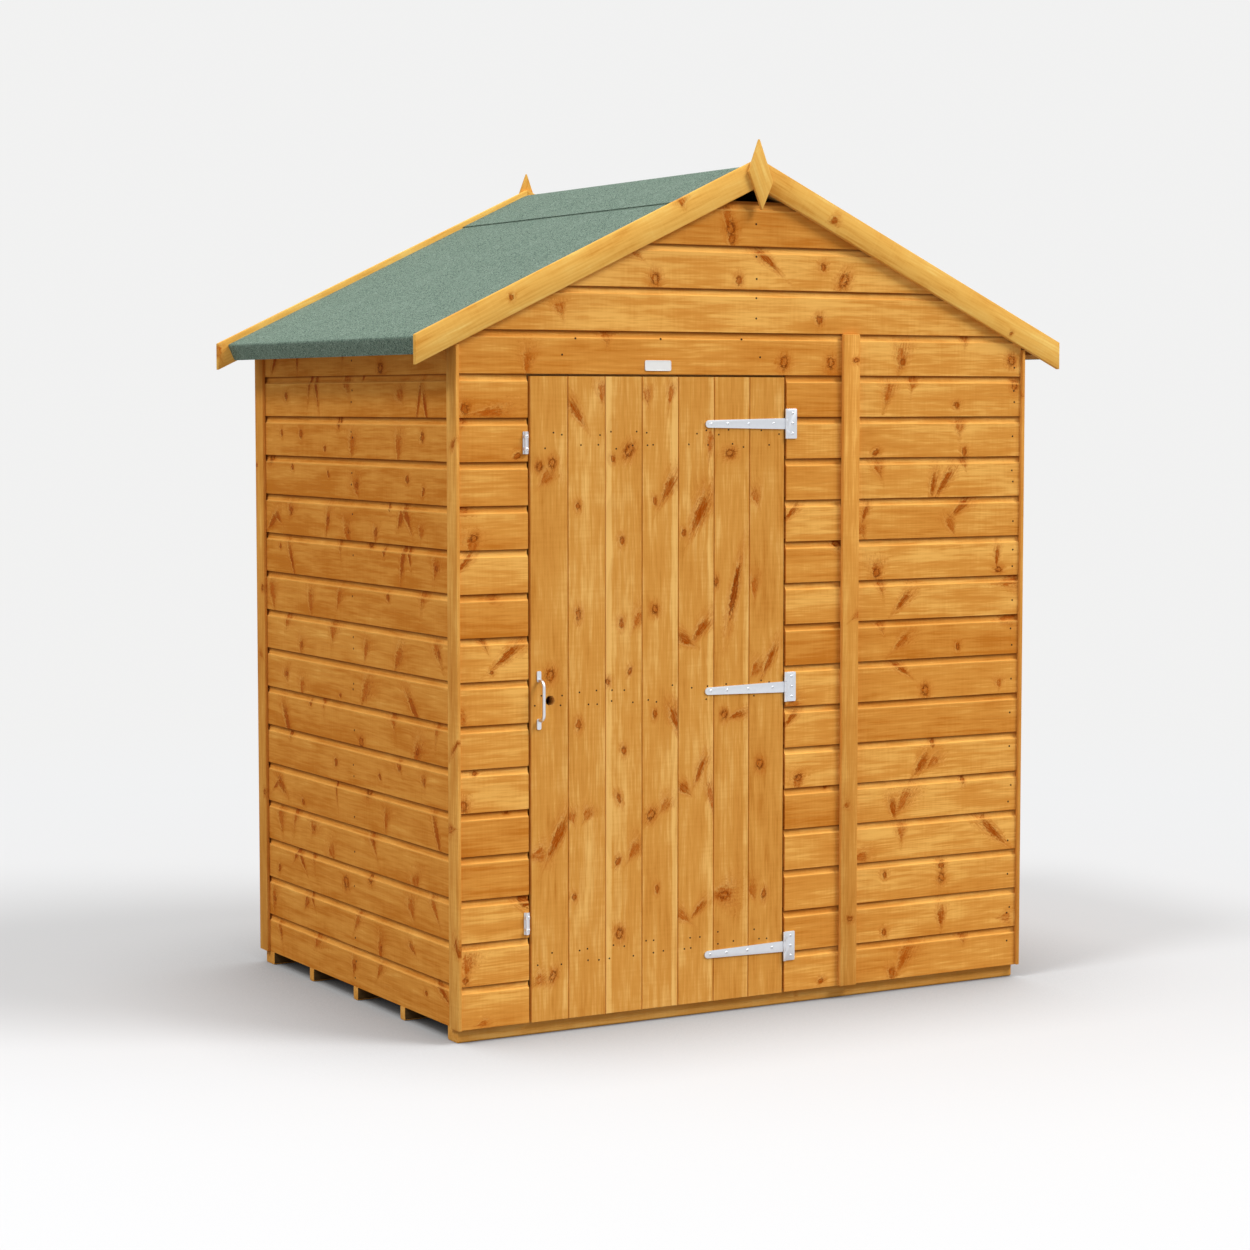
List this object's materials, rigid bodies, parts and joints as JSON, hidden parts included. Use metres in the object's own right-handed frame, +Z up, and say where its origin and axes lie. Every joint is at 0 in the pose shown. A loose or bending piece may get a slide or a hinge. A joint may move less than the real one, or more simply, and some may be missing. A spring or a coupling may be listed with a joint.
{
  "type": "wooden garden shed",
  "caption": "Small timber garden shed with shiplap walls, a green felt pitched roof, bargeboards, diamond finials and a boarded door on tee hinges.",
  "frame": {"origin": "on the ground at the middle of the plan", "axes": "+Z up, -Y out of the front that holds the door, +X to the right seen from the front"},
  "size_m": [2.066, 1.382, 2.3865],
  "materials": {
    "clad_wood": "satin",
    "trim_wood": "satin",
    "frame_wood": "matte",
    "felt": "matte",
    "zinc": "satin"
  },
  "bodies": {
    "shed": {"floor_bearers": "frame_wood", "floor_boards": "frame_wood", "front_wall_left": "clad_wood", "front_wall_middle": "clad_wood", "front_wall_right": "clad_wood", "front_wall_header": "clad_wood", "front_gable": "clad_wood", "back_wall": "clad_wood", "back_gable": "clad_wood", "left_wall": "clad_wood", "right_wall": "clad_wood", "front_studs": "frame_wood", "front_rails": "frame_wood", "door_head": "frame_wood", "back_studs": "frame_wood", "back_rails": "frame_wood", "side_studs": "frame_wood", "side_rails": "frame_wood", "front_rafters": "frame_wood", "back_rafters": "frame_wood", "left_roof_deck": "frame_wood", "right_roof_deck": "frame_wood", "left_eaves_rail": "frame_wood", "right_eaves_rail": "frame_wood", "left_roof_felt": "felt", "right_roof_felt": "felt", "ridge_felt": "felt", "front_left_bargeboard": "trim_wood", "front_right_bargeboard": "trim_wood", "back_left_bargeboard": "trim_wood", "back_right_bargeboard": "trim_wood", "front_finial": "trim_wood", "back_finial": "trim_wood", "front_left_trim": "trim_wood", "front_right_trim": "trim_wood", "back_left_trim": "trim_wood", "back_right_trim": "trim_wood", "front_cover_strip": "trim_wood", "back_cover_strip": "trim_wood", "hinge_plates": "zinc", "door_keeps": "zinc"},
    "door": {"door_boards": "clad_wood", "door_ledges": "frame_wood", "hinge_straps": "zinc", "door_handle": "zinc"}
  },
  "joints": [
    {"name": "door_hinge", "type": "hinge", "parent": "shed", "child": "door", "pos_m": [0.099, -0.6655, 0.893], "axis": [0, 0, 1], "range_deg": [0, 170]}
  ]
}
